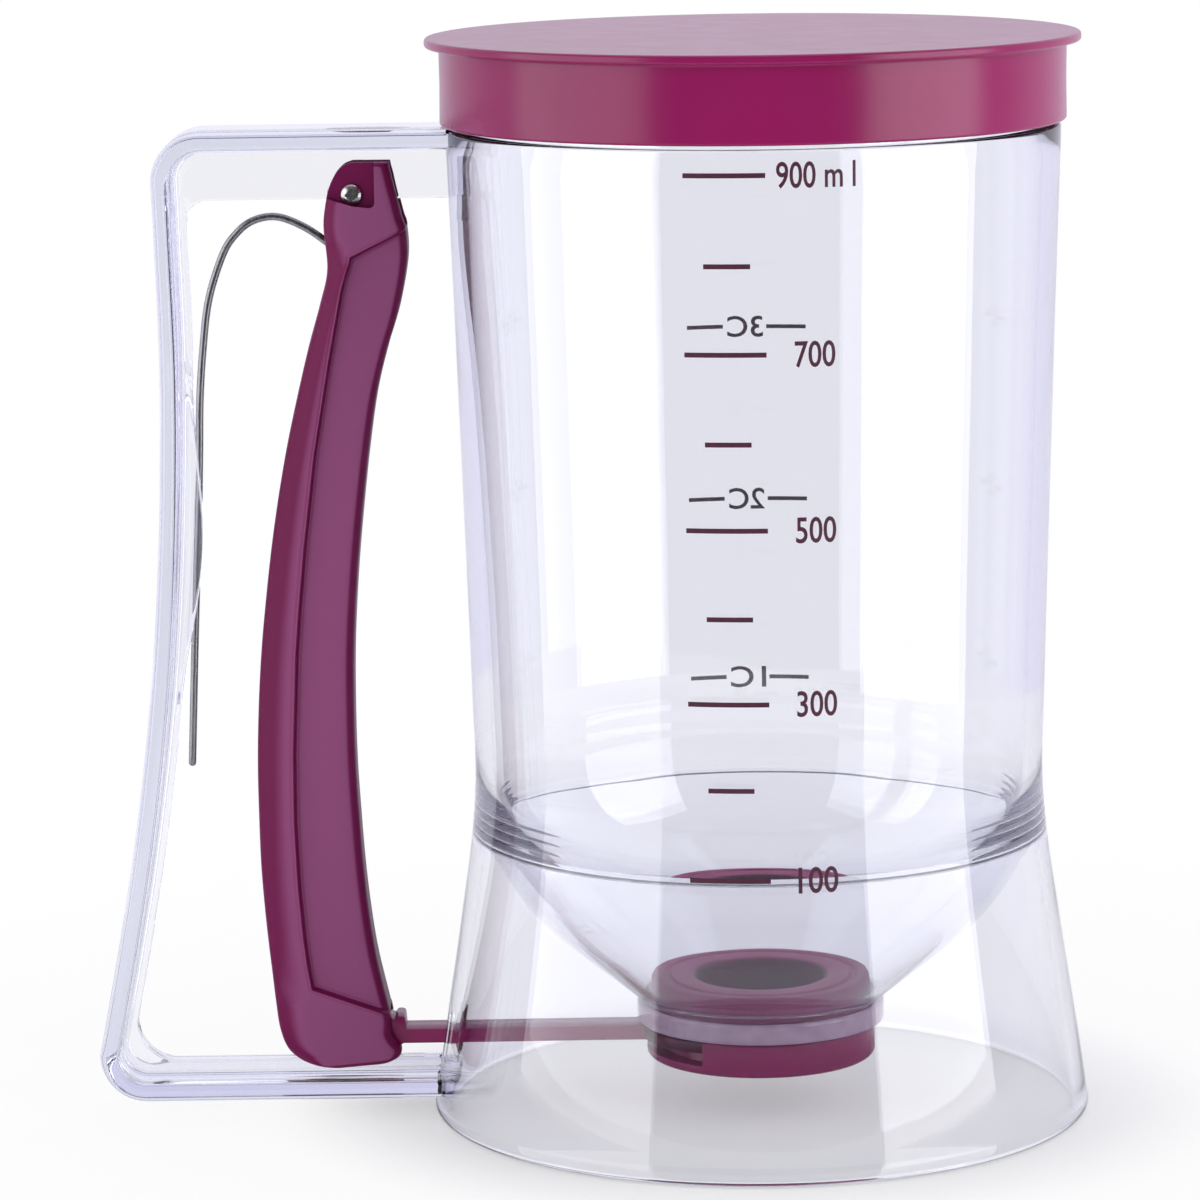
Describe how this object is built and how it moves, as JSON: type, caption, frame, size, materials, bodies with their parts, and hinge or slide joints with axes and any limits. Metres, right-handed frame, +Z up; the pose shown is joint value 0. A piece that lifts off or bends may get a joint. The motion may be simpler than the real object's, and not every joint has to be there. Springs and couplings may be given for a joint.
{
  "type": "batter dispenser",
  "caption": "Clear jug on a flared skirt with a loop handle, a loose lid and a squeeze lever that slides a gate under its funnel outlet.",
  "frame": {"origin": "on the table under the middle of the overall box, handle included", "axes": "+Z up along the jug's axis, -X towards the handle"},
  "size_m": [0.1694, 0.1124, 0.1834],
  "materials": {
    "clear_plastic": "clear moulded plastic, polished",
    "maroon_plastic": "moulded, satin gloss",
    "seat_rubber": "smooth soft ring",
    "steel": "plain zinc plated",
    "spring_steel": "drawn wire"
  },
  "bodies": {
    "jug": {"container": "clear_plastic", "base_skirt": "clear_plastic", "handle": "clear_plastic", "valve_seat": "seat_rubber", "valve_cap": "maroon_plastic", "spring_wire": "spring_steel"},
    "lid": {"lid": "maroon_plastic"},
    "lever": {"lever": "maroon_plastic", "pivot_screw": "steel", "pivot_nut": "steel", "rod_pin": "steel"},
    "gate_rod": {"push_rod": "maroon_plastic", "gate": "maroon_plastic"}
  },
  "joints": [
    {"name": "lid_lift", "type": "slide", "parent": "jug", "child": "lid", "axis": [0, 0, 1], "range_m": [0, 0.04]},
    {"name": "lever_squeeze", "type": "hinge", "parent": "jug", "child": "lever", "pos_m": [-0.0387, 0, 0.1577], "axis": [0, 1, 0], "range_deg": [0, 8.5], "stiffness_Nm_per_rad": 2, "springref_deg": -6.88, "deforming": ["spring_wire"]},
    {"name": "gate_slide", "type": "slide", "parent": "jug", "child": "gate_rod", "axis": [-1, 0, 0], "range_m": [0, 0.0218]}
  ],
  "couplings": [
    {"joint": "gate_slide", "follows": "lever_squeeze", "m_per_rad": 0.1449}
  ]
}
